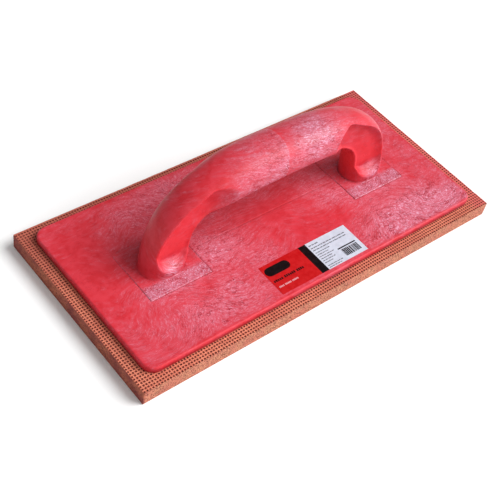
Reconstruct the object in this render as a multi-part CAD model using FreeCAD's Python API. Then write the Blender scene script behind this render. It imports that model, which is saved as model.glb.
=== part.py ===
import FreeCAD, Part
import math

# Hand float: an arched plastic handle let into a plastic plate, screwed from beneath,
# with a cellular rubber slab bonded to the underside.  Millimetres, +Z up, X along the
# long side, working face of the slab on Z = 0, slab centred on the origin.

# --- rubber slab -------------------------------------------------------------------
PAD_LENGTH = 280.0
PAD_WIDTH = 134.0
PAD_THICK = 10.5

# --- adhesive film -----------------------------------------------------------------
FILM_THICK = 0.3
FILM_INSET = 1.5          # film stops short of the plate edge

# --- backing plate -----------------------------------------------------------------
PLASTIC_SHIFT_X = -0.5    # the plastic sits slightly off the slab centre
PLATE_LENGTH = 263.0
PLATE_WIDTH = 120.0
PLATE_THICK = 4.2
PLATE_CORNER_R = 8.0
PLATE_EDGE_R = 1.2        # rolled top edge

# --- handle feet -------------------------------------------------------------------
FOOT_X = 80.5             # centre of each foot from the middle of the plate
FLANGE_LENGTH = 43.6
FLANGE_WIDTH = 41.0
FLANGE_THICK = 2.0
FLANGE_PROUD = 0.4        # how far the flange stands above the plate
REBATE_CLEARANCE = 0.1    # gap round each flange

# --- handle arch -------------------------------------------------------------------
GRIP_AXIS_Z = 68.5        # grip centre line above the working face
ARCH_SHIFT_X = -0.8       # middle of the arch from the middle of the slab
LEG_X = 80.8              # centre of each leg base from the middle of the arch
SPLAY = 4.4               # extra spread of each leg from grip to foot
ARCH_POWER = 3.2          # superellipse power of the arch, 2 = ellipse
SECTION_POWER = 2.2       # superellipse power of the cross-section
STATIONS_PER_HALF = 9
ARCH_STEPS = 600          # straight steps along half the centre line
OVAL_POINTS = 24          # points round each section
TANGENT_STEP = 0.01       # fraction either side of a point that its direction is taken over
# (fraction of the half arch from foot to crown, half width in Y, half depth in the arch plane)
SECTION_TABLE = (
    (0.00, 12.0, 14.6),
    (0.12, 13.2, 13.8),
    (0.30, 13.8, 12.5),
    (0.50, 14.3, 12.3),
    (0.72, 15.3, 13.2),
    (1.00, 15.5, 13.3),
)

# --- recess in each side of each leg -----------------------------------------------
WEB_HALF = 4.8            # half thickness of the web left between the two recesses
RECESS_DEPTH_Y = 12.0     # half depth of the cutter, measured outwards from the web
RECESS_POWER = 2.5        # superellipse power of the cutter section
RECESS_BEND = 0.42        # fraction above which the upper end is moved to suit each leg
RECESS_TOP = {-1: 0.612, 1: 0.690}   # fraction where the left and right recesses run out
# (fraction, half width across the leg, offset towards the outside, distance of floor from y=0)
RECESS_TABLE = (
    (0.046, 3.6, 0.4, 11.8),
    (0.062, 8.2, 0.2, 9.3),
    (0.088, 10.8, 0.0, 6.6),
    (0.130, 12.0, -0.3, 5.1),
    (0.210, 12.2, -0.4, WEB_HALF),
    (0.310, 11.9, 0.0, WEB_HALF),
    (0.420, 11.5, 0.2, WEB_HALF),
    (0.520, 11.2, 0.5, 5.4),
    (0.575, 10.6, 0.5, 7.1),
    (0.615, 8.8, 0.0, 9.2),
    (0.642, 5.6, -0.6, 11.6),
    (0.655, 2.4, -0.9, 13.4),
)

# --- screws ------------------------------------------------------------------------
SCREW_SPACING = 12.0      # along X, two screws per foot
SCREW_HEAD_D = 7.6
SCREW_HEAD_H = 2.1
SCREW_SHANK_D = 3.9
SCREW_LENGTH = 19.0
SCREW_TIP_H = 2.5
SCREW_SLOT_W = 1.1
SCREW_SLOT_DEPTH = 1.0
SCREW_FIT = 0.05          # radial gap between screw and hole
SCREW_SINK = 0.1          # head face below the underside of the plate
SCREW_TIP_R = 0.5
SCREW_SLOT_REACH = 4.7    # length of each arm of the cross slot
OVERCUT = 0.05            # cutters run this far past the face they open

# --- label -------------------------------------------------------------------------
LABEL_LENGTH = 70.0
LABEL_WIDTH = 23.5
LABEL_THICK = 0.12
LABEL_X = 0.6
LABEL_Y = -45.1

PLATE_Z0 = PAD_THICK + FILM_THICK
PLATE_Z1 = PLATE_Z0 + PLATE_THICK
FLANGE_Z1 = PLATE_Z1 + FLANGE_PROUD
FLANGE_Z0 = FLANGE_Z1 - FLANGE_THICK

V = FreeCAD.Vector


def block(length, width, z0, z1, cx=0.0, cy=0.0):
    """Rectangular block centred on cx, cy."""
    return Part.makeBox(length, width, z1 - z0, V(cx - length / 2.0, cy - width / 2.0, z0))


def upright_edges(shape):
    """Edges that run parallel to Z."""
    found = []
    for edge in shape.Edges:
        a, b = edge.Vertexes[0].Point, edge.Vertexes[-1].Point
        if abs(a.x - b.x) < 1e-6 and abs(a.y - b.y) < 1e-6 and abs(a.z - b.z) > 1e-3:
            found.append(edge)
    return found


def rim_edges(shape, z):
    """Edges lying wholly at height z."""
    return [e for e in shape.Edges
            if all(abs(v.Point.z - z) < 1e-6 for v in e.Vertexes)
            and abs(e.BoundBox.ZMax - z) < 1e-6 and abs(e.BoundBox.ZMin - z) < 1e-6]


def interpolate(table, u, column):
    """Smooth value of one table column at fraction u, without overshoot."""
    xs = [row[0] for row in table]
    ys = [row[column] for row in table]
    if u <= xs[0]:
        return ys[0]
    if u >= xs[-1]:
        return ys[-1]
    slopes = [(ys[i + 1] - ys[i]) / (xs[i + 1] - xs[i]) for i in range(len(xs) - 1)]
    tangents = [slopes[0]]
    for i in range(1, len(slopes)):
        a, b = slopes[i - 1], slopes[i]
        tangents.append(2.0 * a * b / (a + b) if a * b > 0.0 else 0.0)
    tangents.append(slopes[-1])
    i = max(k for k in range(len(xs) - 1) if xs[k] <= u)
    h = xs[i + 1] - xs[i]
    s = (u - xs[i]) / h
    return ((1 + 2 * s) * (1 - s) ** 2 * ys[i] + s * (1 - s) ** 2 * h * tangents[i]
            + s * s * (3 - 2 * s) * ys[i + 1] + s * s * (s - 1) * h * tangents[i + 1])


def arch_samples(count):
    """Points along the centre line of half the arch, foot first, with arc lengths."""
    rise = GRIP_AXIS_Z - FLANGE_Z1
    points = []
    for i in range(count + 1):
        t = 0.5 * math.pi * i / count
        z = rise * math.sin(t) ** (2.0 / ARCH_POWER)
        x = ((LEG_X - SPLAY) * max(0.0, math.cos(t)) ** (2.0 / ARCH_POWER)
             + SPLAY * (1.0 - z / rise))
        points.append((x, FLANGE_Z1 + z))
    lengths = [0.0]
    for (x0, z0), (x1, z1) in zip(points, points[1:]):
        lengths.append(lengths[-1] + math.hypot(x1 - x0, z1 - z0))
    return points, lengths


ARCH_POINTS, ARCH_LENGTHS = arch_samples(ARCH_STEPS)


def arch_point(u):
    """Centre-line point at fraction u of the half arch."""
    target = min(max(u, 0.0), 1.0) * ARCH_LENGTHS[-1]
    i = max(k for k in range(len(ARCH_LENGTHS) - 1) if ARCH_LENGTHS[k] <= target)
    s = (target - ARCH_LENGTHS[i]) / (ARCH_LENGTHS[i + 1] - ARCH_LENGTHS[i])
    (x0, z0), (x1, z1) = ARCH_POINTS[i], ARCH_POINTS[i + 1]
    return x0 + s * (x1 - x0), z0 + s * (z1 - z0)


def arch_frame(u, side):
    """Centre point and outward normal of the arch; side is -1 for left, +1 for right."""
    x, z = arch_point(u)
    if u <= 0.0:
        tx, tz = 0.0, 1.0
    elif u >= 1.0:
        tx, tz = -1.0, 0.0
    else:
        xa, za = arch_point(u - TANGENT_STEP)
        xb, zb = arch_point(u + TANGENT_STEP)
        length = math.hypot(xb - xa, zb - za)
        tx, tz = (xb - xa) / length, (zb - za) / length
    centre = V(ARCH_SHIFT_X + side * x, 0, z)
    normal = V(side * tz, 0, -tx)
    return centre, normal


def oval_wire(centre, normal, half_y, half_n, power):
    """Closed superellipse wire spanned by Y and the given normal."""
    points = []
    for i in range(OVAL_POINTS):
        a = 2.0 * math.pi * i / OVAL_POINTS
        c, s = math.cos(a), math.sin(a)
        y = half_y * math.copysign(abs(c) ** (2.0 / power), c)
        n = half_n * math.copysign(abs(s) ** (2.0 / power), s)
        points.append(centre + V(0, y, 0) + normal * n)
    curve = Part.BSplineCurve()
    curve.interpolate(Points=points, PeriodicFlag=True)
    return Part.Wire([curve.toShape()])


def make_arch():
    """The bare arch, lofted from the left foot over the crown to the right foot."""
    fractions = [i / float(STATIONS_PER_HALF) for i in range(STATIONS_PER_HALF + 1)]
    route = [(u, -1) for u in fractions] + [(u, 1) for u in reversed(fractions[:-1])]
    wires = []
    for u, side in route:
        centre, normal = arch_frame(u, side)
        wires.append(oval_wire(centre, normal, interpolate(SECTION_TABLE, u, 1),
                               interpolate(SECTION_TABLE, u, 2), SECTION_POWER))
    return Part.makeLoft(wires, True, False)


def make_recess(side, face):
    """Cutter for one leg recess; face is -1 for the near side, +1 for the far side."""
    stretch = (RECESS_TOP[side] - RECESS_BEND) / (RECESS_TABLE[-1][0] - RECESS_BEND)
    wires = []
    for u, half_n, offset, floor in RECESS_TABLE:
        if u > RECESS_BEND:
            u = RECESS_BEND + stretch * (u - RECESS_BEND)
        centre, normal = arch_frame(u, side)
        middle = centre + normal * offset + V(0, face * (floor + RECESS_DEPTH_Y), 0)
        wires.append(oval_wire(middle, normal, RECESS_DEPTH_Y, half_n, RECESS_POWER))
    return Part.makeLoft(wires, True, False)


def screw_positions():
    """Name and X position of each screw."""
    places = []
    for side, side_name in ((-1, "left"), (1, "right")):
        for reach, reach_name in ((1, "outer"), (-1, "inner")):
            x = ARCH_SHIFT_X + side * (LEG_X + reach * SCREW_SPACING / 2.0)
            places.append(("screw_%s_%s" % (side_name, reach_name), x))
    return places


def screw_body(x, growth=0.0):
    """Countersunk screw, head down; growth widens it into its own hole."""
    z0 = PLATE_Z0 + SCREW_SINK
    head_r = SCREW_HEAD_D / 2.0 + growth
    shank_r = SCREW_SHANK_D / 2.0 + growth
    head = Part.makeCone(head_r, shank_r, SCREW_HEAD_H, V(x, 0, z0))
    shank_h = SCREW_LENGTH - SCREW_HEAD_H - SCREW_TIP_H
    shank = Part.makeCylinder(shank_r, shank_h, V(x, 0, z0 + SCREW_HEAD_H))
    tip = Part.makeCone(shank_r, SCREW_TIP_R + growth, SCREW_TIP_H, V(x, 0, z0 + SCREW_HEAD_H + shank_h))
    return head.fuse([shank, tip]).removeSplitter()


def screw_hole(x):
    """Clearance shape for one screw, open to the underside of the plate."""
    mouth = Part.makeCylinder(SCREW_HEAD_D / 2.0 + SCREW_FIT, SCREW_SINK + OVERCUT,
                              V(x, 0, PLATE_Z0 - OVERCUT))
    return screw_body(x, SCREW_FIT).fuse(mouth)


def make_screw(x):
    """Screw with a cross slot in the head."""
    z0 = PLATE_Z0 + SCREW_SINK
    body = screw_body(x)
    for length, width in ((SCREW_SLOT_REACH, SCREW_SLOT_W), (SCREW_SLOT_W, SCREW_SLOT_REACH)):
        body = body.cut(block(length, width, z0 - OVERCUT, z0 + SCREW_SLOT_DEPTH, x))
    return body


def make_plate():
    """Backing plate with rebates for the handle flanges and countersunk screw holes."""
    plate = block(PLATE_LENGTH, PLATE_WIDTH, PLATE_Z0, PLATE_Z1, PLASTIC_SHIFT_X)
    plate = plate.makeFillet(PLATE_CORNER_R, upright_edges(plate))
    plate = plate.makeFillet(PLATE_EDGE_R, rim_edges(plate, PLATE_Z1))
    for side in (-1, 1):
        plate = plate.cut(block(FLANGE_LENGTH + 2 * REBATE_CLEARANCE,
                                FLANGE_WIDTH + 2 * REBATE_CLEARANCE,
                                FLANGE_Z0, PLATE_Z1 + OVERCUT,
                                PLASTIC_SHIFT_X + side * FOOT_X))
    for _, x in screw_positions():
        plate = plate.cut(screw_hole(x))
    return plate


def make_handle():
    """Arch plus foot flanges, with the leg recesses and screw holes cut."""
    handle = make_arch()
    cutters = [make_recess(side, face) for side in (-1, 1) for face in (-1, 1)]
    for cutter in cutters:
        handle = handle.cut(cutter)
    for side in (-1, 1):
        handle = handle.fuse(block(FLANGE_LENGTH, FLANGE_WIDTH, FLANGE_Z0, FLANGE_Z1,
                                   PLASTIC_SHIFT_X + side * FOOT_X))
    for _, x in screw_positions():
        handle = handle.cut(screw_hole(x))
    return handle


def make_film():
    film = block(PLATE_LENGTH - 2 * FILM_INSET, PLATE_WIDTH - 2 * FILM_INSET,
                 PAD_THICK, PLATE_Z0, PLASTIC_SHIFT_X)
    return film.makeFillet(PLATE_CORNER_R - FILM_INSET, upright_edges(film))


parts = {
    "rubber_pad": block(PAD_LENGTH, PAD_WIDTH, 0.0, PAD_THICK),
    "bond_film": make_film(),
    "backing_plate": make_plate(),
    "handle": make_handle(),
    "product_label": block(LABEL_LENGTH, LABEL_WIDTH, PLATE_Z1, PLATE_Z1 + LABEL_THICK,
                           LABEL_X, LABEL_Y),
}
for name, x in screw_positions():
    parts[name] = make_screw(x)

for name, shape in parts.items():
    if len(shape.Solids) != 1 or not shape.isValid():
        raise RuntimeError("%s: %d solids, valid %s" % (name, len(shape.Solids), shape.isValid()))
    shape = shape.Solids[0]
    shape.exportStep("parts/%s.step" % name)
    box = shape.BoundBox
    print("%-18s %8.1f mm3  z %.2f to %.2f" % (name, shape.Volume, box.ZMin, box.ZMax))
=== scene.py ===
"""Looks for the rubber-faced hand float: marbled moulded plastic on a cellular rubber slab.

Lengths are in millimetres, in the CAD frame, and turn into metres where a mesh is written."""
import math
import random

import bpy
import bmesh
import numpy as np
from mathutils import Euler, Matrix, Vector, noise


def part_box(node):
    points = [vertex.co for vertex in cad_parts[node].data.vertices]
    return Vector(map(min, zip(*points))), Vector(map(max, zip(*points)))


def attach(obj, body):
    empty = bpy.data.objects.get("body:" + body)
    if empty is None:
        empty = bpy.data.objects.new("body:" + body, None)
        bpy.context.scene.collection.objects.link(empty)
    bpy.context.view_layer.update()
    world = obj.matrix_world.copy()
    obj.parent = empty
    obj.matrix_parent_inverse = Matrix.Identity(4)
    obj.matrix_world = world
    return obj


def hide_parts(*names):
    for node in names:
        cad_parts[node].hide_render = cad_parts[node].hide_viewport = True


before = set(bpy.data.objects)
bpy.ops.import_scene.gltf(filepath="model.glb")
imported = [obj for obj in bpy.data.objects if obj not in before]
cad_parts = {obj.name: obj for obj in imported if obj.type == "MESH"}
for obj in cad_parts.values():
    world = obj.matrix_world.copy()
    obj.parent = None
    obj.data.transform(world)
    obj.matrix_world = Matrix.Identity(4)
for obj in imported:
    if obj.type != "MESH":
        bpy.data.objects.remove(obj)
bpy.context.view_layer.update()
MM = 0.001
random.seed(11)           # varies the slab's dimples


def lo_hi(node):
    """Lowest and highest corner of a CAD node in millimetres."""
    low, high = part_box(node)
    return np.array(low) * 1000.0, np.array(high) * 1000.0


PAD_LO, PAD_HI = lo_hi("rubber_pad")
PLATE_LO, PLATE_HI = lo_hi("backing_plate")
HANDLE_LO, HANDLE_HI = lo_hi("handle")
LABEL_LO, LABEL_HI = lo_hi("product_label")


# ---- numbers

def smoothstep(a, b, v):
    """0 before a, 1 past b, and smooth between; b may be below a."""
    t = np.clip((np.asarray(v, float) - a) / (b - a), 0.0, 1.0)
    return t * t * (3.0 - 2.0 * t)


def smooth_min(a, b, k):
    """The smaller of a and b, blended over a width of k where they cross."""
    h = np.clip(0.5 + 0.5 * (b - a) / k, 0.0, 1.0)
    return b * (1.0 - h) + a * h - k * h * (1.0 - h)


def smooth_max(a, b, k):
    return -smooth_min(-a, -b, k)


def noise3(points, wave, seed, fine=False):
    """Perlin noise at each point; wave is the wavelength, and fine adds an octave."""
    offset = Vector((seed * 17.3, seed * 5.1, -seed * 9.7))
    values = []
    for x, y, z in np.asarray(points, float).tolist():
        place = Vector((x / wave, y / wave, z / wave)) + offset
        value = noise.noise(place)
        if fine:
            value += 0.5 * noise.noise(place * 2.03)
        values.append(value)
    return np.array(values)


def side_distances(p, low, high):
    """How far each point is inside a box's nearer side, along X and Y."""
    along_x = np.minimum(p[:, 0] - low[0], high[0] - p[:, 0])
    along_y = np.minimum(p[:, 1] - low[1], high[1] - p[:, 1])
    return along_x, along_y


def interpolate(table, u, column):
    """Smooth values of one table column at the fractions u, without overshoot."""
    xs = np.array([row[0] for row in table])
    ys = np.array([row[column] for row in table])
    slope = np.diff(ys) / np.diff(xs)
    tangent = np.zeros(len(xs))
    tangent[0], tangent[-1] = slope[0], slope[-1]
    for i in range(1, len(slope)):
        s0, s1 = slope[i - 1], slope[i]
        tangent[i] = 2.0 * s0 * s1 / (s0 + s1) if s0 * s1 > 0.0 else 0.0
    u = np.clip(u, xs[0], xs[-1])
    i = np.clip(np.searchsorted(xs, u, side="right") - 1, 0, len(xs) - 2)
    h = xs[i + 1] - xs[i]
    s = (u - xs[i]) / h
    return ((1 + 2 * s) * (1 - s) ** 2 * ys[i] + s * (1 - s) ** 2 * h * tangent[i]
            + s * s * (3 - 2 * s) * ys[i + 1] + s * s * (s - 1) * h * tangent[i + 1])


# ---- meshes

def link_mesh(name, mesh):
    obj = bpy.data.objects.new(name, mesh)
    bpy.context.scene.collection.objects.link(obj)
    return obj


def new_object(name, points, faces, smooth=True):
    mesh = bpy.data.meshes.new(name)
    mesh.from_pydata([tuple(p) for p in np.asarray(points, float) * MM], [], faces)
    mesh.update()
    if smooth:
        mesh.shade_smooth()
    return link_mesh(name, mesh)


def node_copy(node, name):
    """An independent object holding a copy of a CAD node's mesh."""
    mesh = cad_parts[node].data.copy()
    mesh.name = name
    mesh.materials.clear()
    return link_mesh(name, mesh)


def read_vectors(items, key):
    values = np.empty(len(items) * 3)
    items.foreach_get(key, values)
    return values.reshape(-1, 3)


def mesh_points(mesh):
    return read_vectors(mesh.vertices, "co") * 1000.0


def set_points(mesh, points):
    mesh.vertices.foreach_set("co", (points * MM).ravel())
    mesh.update()


def store(mesh, name, values):
    """Keeps a number or a vector for each point, for a material to read."""
    values = np.asarray(values, np.float32)
    kind, key = ("FLOAT", "value") if values.ndim == 1 else ("FLOAT_VECTOR", "vector")
    mesh.attributes.new(name, kind, "POINT").data.foreach_set(key, values.ravel())


def cut_faces(bm, axis, at, chosen, snap):
    """Cuts the chosen faces where the axis is at a place; snap, in metres, is the tolerance."""
    place, normal = Vector((0, 0, 0)), Vector((0, 0, 0))
    place[axis], normal[axis] = at * MM, 1.0
    faces = [f for f in bm.faces if chosen(f)]
    geom = list(dict.fromkeys(v for f in faces for v in f.verts))
    geom += list(dict.fromkeys(e for f in faces for e in f.edges)) + faces
    bmesh.ops.bisect_plane(bm, geom=geom, plane_co=place, plane_no=normal, dist=snap)


def shade(mesh, crease):
    """Smooth shading, but sharp where faces meet at more than crease degrees."""
    mesh.shade_smooth()
    mesh.set_sharp_from_angle(angle=math.radians(crease))


# ---- shader helpers

def srgb(r, g, b):
    """A linear colour with alpha from sRGB values of 0 to 255."""
    def lin(c):
        c /= 255.0
        return c / 12.92 if c <= 0.04045 else ((c + 0.055) / 1.055) ** 2.4
    return (lin(r), lin(g), lin(b), 1.0)


class Nodes:
    """A material's node tree, with a short call for each kind of node."""

    def __init__(self, name):
        self.mat = bpy.data.materials.new(name)
        self.mat.use_nodes = True
        self.tree = self.mat.node_tree
        self.tree.nodes.clear()
        out = self.tree.nodes.new("ShaderNodeOutputMaterial")
        self.bsdf = self.tree.nodes.new("ShaderNodeBsdfPrincipled")
        self.tree.links.new(self.bsdf.outputs[0], out.inputs["Surface"])

    def drive(self, **sockets):
        """Links values to the shader's sockets, with _ for a space."""
        for name, value in sockets.items():
            self.put(self.bsdf.inputs[name.replace("_", " ")], value)

    def constant(self, name, value):
        self.bsdf.inputs[name].default_value = value

    def put(self, socket, value):
        if isinstance(value, bpy.types.NodeSocket):
            self.tree.links.new(value, socket)
        else:
            socket.default_value = value

    def add(self, kind, inputs, **settings):
        """Adds a node with its settings, fills its inputs, and gives its outputs."""
        node = self.tree.nodes.new("ShaderNode" + kind)
        for key, value in settings.items():
            setattr(node, key, value)
        for key, value in inputs.items():
            self.put(node.inputs[key], value)
        return node.outputs

    def coords(self):
        """The point on the object, in millimetres."""
        return self.scaled(self.add("TexCoord", {})["Object"], 1000.0)

    def attribute(self, name, output):
        return self.add("Attribute", {}, attribute_name=name)[output]

    def vmath(self, op, a, b):
        return self.add("VectorMath", {0: a, 1: b}, operation=op)["Vector"]

    def scaled(self, vector, factor):
        return self.add("VectorMath", {0: vector, "Scale": factor}, operation="SCALE")["Vector"]

    def math(self, op, a, b=0.5, clamp=False):
        return self.add("Math", {0: a, 1: b}, operation=op, use_clamp=clamp)[0]

    def plus(self, a, b):
        return self.math("ADD", a, b)

    def minus(self, a, b):
        return self.math("SUBTRACT", a, b)

    def times(self, a, b):
        return self.math("MULTIPLY", a, b)

    def centred(self, value, gain):
        """A noise value moved to vary about zero, times gain."""
        return self.times(self.minus(value, 0.5), gain)

    def axis(self, vector, name):
        return self.add("SeparateXYZ", {0: vector})[name]

    def noise(self, vector, scale, detail=3.0, rough=0.55, output="Fac"):
        """Noise of 0 to 1 with scale waves to the millimetre."""
        inputs = {"Vector": vector, "Scale": scale, "Detail": detail, "Roughness": rough}
        return self.add("TexNoise", inputs)[output]

    def grain(self, vector, waves, detail, rough):
        """Noise with its own waves to the millimetre on each axis."""
        return self.noise(self.vmath("MULTIPLY", vector, waves), 1.0, detail, rough)

    def wander(self, vector, scale, rough, reach):
        """A vector that wanders about zero, by up to half of reach on each axis."""
        colour = self.noise(vector, scale, 2.0, rough, "Color")
        return self.scaled(self.vmath("SUBTRACT", colour, (0.5, 0.5, 0.5)), reach)

    def voronoi(self, vector, scale):
        """Distance from the nearest of a set of scattered points."""
        return self.add("TexVoronoi", {"Vector": vector, "Scale": scale})["Distance"]

    def span(self, value, a, b, c=0.0, d=1.0, curve="SMOOTHSTEP"):
        """Maps a value from the range a to b onto the range c to d, and holds it there."""
        inputs = {"Value": value, "From Min": a, "From Max": b, "To Min": c, "To Max": d}
        return self.add("MapRange", inputs, interpolation_type=curve)["Result"]

    def mix(self, fac, a, b):
        """Colour a where fac is 0 and colour b where it is 1."""
        return self.add("Mix", {"Factor": fac, 6: a, 7: b}, data_type="RGBA", clamp_factor=True)[2]

    def bump(self, height, distance, strength=1.0, normal=None):
        inputs = {"Strength": strength, "Distance": distance * MM, "Height": height}
        if normal is not None:
            inputs["Normal"] = normal
        return self.add("Bump", inputs)["Normal"]


# ---- materials

# waves to the millimetre along, across and through the flow
STRAND_WAVES = (0.045, 0.50, 0.3)
FLAKE_WAVES = (0.42, 1.30, 0.8)
GLINT_WAVES = (1.1, 2.1, 1.3)
SEAM_WAVES = (0.14, 0.75, 0.5)
DEEP_RED = srgb(196, 41, 52), srgb(205, 54, 67)
# plain red of clean plastic, also used as painted red bounce light on the right leg's inner face
CLEAN_AND_BOUNCE_RED = srgb(219, 50, 56)
DARK_STRAND = srgb(160, 20, 32)
DARK_SEAM = srgb(146, 20, 36)
PLATE_MARBLE = srgb(202, 90, 108), srgb(234, 186, 212)      # body and silver
HANDLE_MARBLE = srgb(190, 90, 108), srgb(222, 186, 212)

RIDGE_RUBBER = srgb(182, 90, 70), srgb(232, 142, 112)
DULL_RIDGE = srgb(184, 86, 70)
# painted shadow of the plate on the far margin
SHADED_FAR_RIDGE = srgb(146, 58, 50)
# painted red light bounced from the plate onto the right-hand margin
RED_BOUNCE_RIDGE = srgb(214, 80, 88)
# painted shade at the bottoms of the dimples
SHADED_PIT_BOTTOM = srgb(108, 38, 28)
FAR_SHADE_FROM, FAR_SHADE_TO = 0.0, 60.0      # Y, towards the far margin, darkened as painted shadow of the plate
RED_BOUNCE_FROM, RED_BOUNCE_TO = 124.0, 134.0     # X, towards the right-hand margin, tinted as painted red light bounced from the plate

CUT_RUBBER = srgb(140, 68, 50), srgb(222, 152, 118)
DULL_CUT = srgb(188, 100, 84)
# painted shade on the left end, which faces away from the lamp
SHADED_END = srgb(142, 62, 54), srgb(172, 92, 66)
# painted shade inside the open cells
SHADED_OPEN_CELL = srgb(100, 38, 26)
SHADED_END_FADE = 1.2, 0.6                # from the left end, where its painted shade starts and is full

GLUE = srgb(150, 96, 52), srgb(196, 150, 92)
ZINC = srgb(150, 150, 146), srgb(198, 198, 192)


def plastic_material(name, body_colour, silver_colour):
    """Marbled red plastic.  The attribute flow is mm along, across and through the flow, and a
    second attribute says how much of the silvery pigment shows; it is raised in patches as painted
    highlight and lowered as painted shade and painted red bounce light."""
    m = Nodes(name)
    here = m.coords()
    pearl_and_painted_light = m.attribute("pearl_and_painted_light", "Fac")
    flow = m.vmath("ADD", m.attribute("flow", "Vector"), m.wander(here, 0.045, 0.5, 9.0))
    flow = m.vmath("ADD", flow, m.wander(here, 0.28, 0.6, 2.2))
    strands = m.grain(flow, STRAND_WAVES, 4.0, 0.62)
    flakes = m.grain(flow, FLAKE_WAVES, 4.0, 0.68)
    glints = m.grain(flow, GLINT_WAVES, 2.0, 0.55)
    clouds = m.noise(here, 0.05, 3.0, 0.60)
    patches = m.noise(here, 0.13, 3.0, 0.6)

    # the silvery pigment gathers in clouds, trails off in strands and breaks into flakes
    amount = m.plus(m.plus(pearl_and_painted_light, m.centred(clouds, 0.9)), m.centred(strands, 1.4))
    amount = m.math("POWER", m.span(amount, 0.0, 1.15, curve="LINEAR"), 1.2)
    flaky = m.plus(m.times(m.span(flakes, 0.45, 0.67), 0.65),
                   m.times(m.span(glints, 0.54, 0.69), 0.50))
    silver = m.math("MULTIPLY", flaky, amount, clamp=True)
    # where the pigment is richest, in the painted highlight patches, the silver flecks are whiter
    # still: painted highlight
    silver = m.times(silver, m.span(pearl_and_painted_light, 0.85, 1.20, 0.62, 0.86))

    deep = m.mix(m.span(patches, 0.35, 0.65), *DEEP_RED)
    deep = m.mix(m.span(pearl_and_painted_light, 0.05, -0.30), deep, CLEAN_AND_BOUNCE_RED)
    body = m.mix(amount, deep, body_colour)
    dark = m.times(m.span(strands, 0.50, 0.36), m.span(pearl_and_painted_light, 0.3, 1.0))
    body = m.mix(m.times(dark, 0.50), body, DARK_STRAND)
    colour = m.mix(silver, body, silver_colour)

    # fine dark hairlines between strands of pigment, in patches
    seams = m.math("ABSOLUTE", m.minus(m.grain(flow, SEAM_WAVES, 3.0, 0.6), 0.5))
    seams = m.times(m.span(seams, 0.038, 0.010), m.span(m.noise(here, 0.16, 2.0), 0.44, 0.60))
    seams = m.times(seams, m.span(pearl_and_painted_light, 0.15, 0.9, 0.20, 0.95))
    colour = m.mix(seams, colour, DARK_SEAM)

    # the recesses and the richest patches of pigment are the glossiest
    gloss = m.plus(m.span(pearl_and_painted_light, 0.10, -0.15, 0.0, 0.16), m.span(pearl_and_painted_light, 0.8, 1.2, 0.0, 0.12))
    rough = m.minus(m.span(flakes, 0.3, 0.7, 0.42, 0.54), gloss)
    bump = m.bump(strands, 0.08, m.span(pearl_and_painted_light, 0.0, 0.6, 0.12, 0.5))
    bump = m.bump(flakes, 0.04, m.span(pearl_and_painted_light, 0.0, 0.6, 0.10, 0.5), bump)
    m.drive(Base_Color=colour, Roughness=rough, Normal=bump)
    m.constant("Specular IOR Level", 0.20)
    m.constant("IOR", 1.5)
    return m.mat


def rubber_material():
    """Pressed skin of the cellular rubber; the attribute pit is 1 at a dimple's bottom."""
    m = Nodes("rubber_skin")
    here = m.coords()
    pit = m.attribute("pit", "Fac")
    grain = m.noise(here, 1.4, 4.0, 0.65)
    broad = m.noise(here, 0.05, 3.0, 0.5)
    ridge = m.mix(m.span(grain, 0.32, 0.68), *RIDGE_RUBBER)
    ridge = m.mix(m.times(m.span(broad, 0.35, 0.7), 0.5), ridge, DULL_RIDGE)
    # painted shadow of the plate darkens the far margin, and painted red light bounced from the
    # plate tints the right-hand one
    far_shade = m.times(m.span(m.axis(here, "Y"), FAR_SHADE_FROM, FAR_SHADE_TO), 0.55)
    ridge = m.mix(far_shade, ridge, SHADED_FAR_RIDGE)
    red_bounce = m.times(m.span(m.axis(here, "X"), RED_BOUNCE_FROM, RED_BOUNCE_TO), 0.55)
    ridge = m.mix(red_bounce, ridge, RED_BOUNCE_RIDGE)
    # the dimple bottoms are darkened as painted shade
    m.drive(Base_Color=m.mix(m.span(pit, 0.03, 0.50), ridge, SHADED_PIT_BOTTOM),
            Roughness=m.span(grain, 0.3, 0.7, 0.72, 0.92),
            Normal=m.bump(grain, 0.12, 0.9))
    return m.mat


def cut_rubber_material():
    """Sawn sides of the slab with their open cells; the left end, away from the lamp, is darkened
    as painted shade.
    """
    m = Nodes("rubber_cut")
    here = m.coords()
    cells = m.voronoi(here, 1.3)
    openness = m.noise(here, 0.7, 2.0, 0.6)
    pores = m.times(m.span(cells, 0.58, 0.26), m.span(openness, 0.40, 0.54))
    grain = m.noise(here, 1.3, 4.0, 0.75)
    base = m.mix(m.span(grain, 0.34, 0.66), *CUT_RUBBER)
    dull = m.times(m.span(m.noise(here, 0.12, 3.0), 0.4, 0.65), 0.6)
    base = m.mix(dull, base, DULL_CUT)
    # painted shade on the left end face
    shaded_end = m.mix(m.span(m.noise(here, 0.09, 3.0), 0.38, 0.62), *SHADED_END)
    at_end = m.span(m.axis(here, "X"), PAD_LO[0] + SHADED_END_FADE[0], PAD_LO[0] + SHADED_END_FADE[1])
    base = m.mix(at_end, base, shaded_end)
    height = m.minus(m.times(grain, 0.5), pores)
    # the open cells are darkened as painted shade in their hollows
    m.drive(Base_Color=m.mix(pores, base, SHADED_OPEN_CELL), Normal=m.bump(height, 0.25, 1.0))
    m.constant("Roughness", 0.9)
    return m.mat


def glue_material():
    """Dried contact adhesive, blotchy and half glossy."""
    m = Nodes("dried_adhesive")
    blot = m.noise(m.coords(), 0.25, 4.0, 0.6)
    m.drive(Base_Color=m.mix(m.span(blot, 0.35, 0.65), *GLUE),
            Roughness=m.span(blot, 0.3, 0.7, 0.3, 0.6),
            Normal=m.bump(blot, 0.1, 0.8))
    return m.mat


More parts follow.
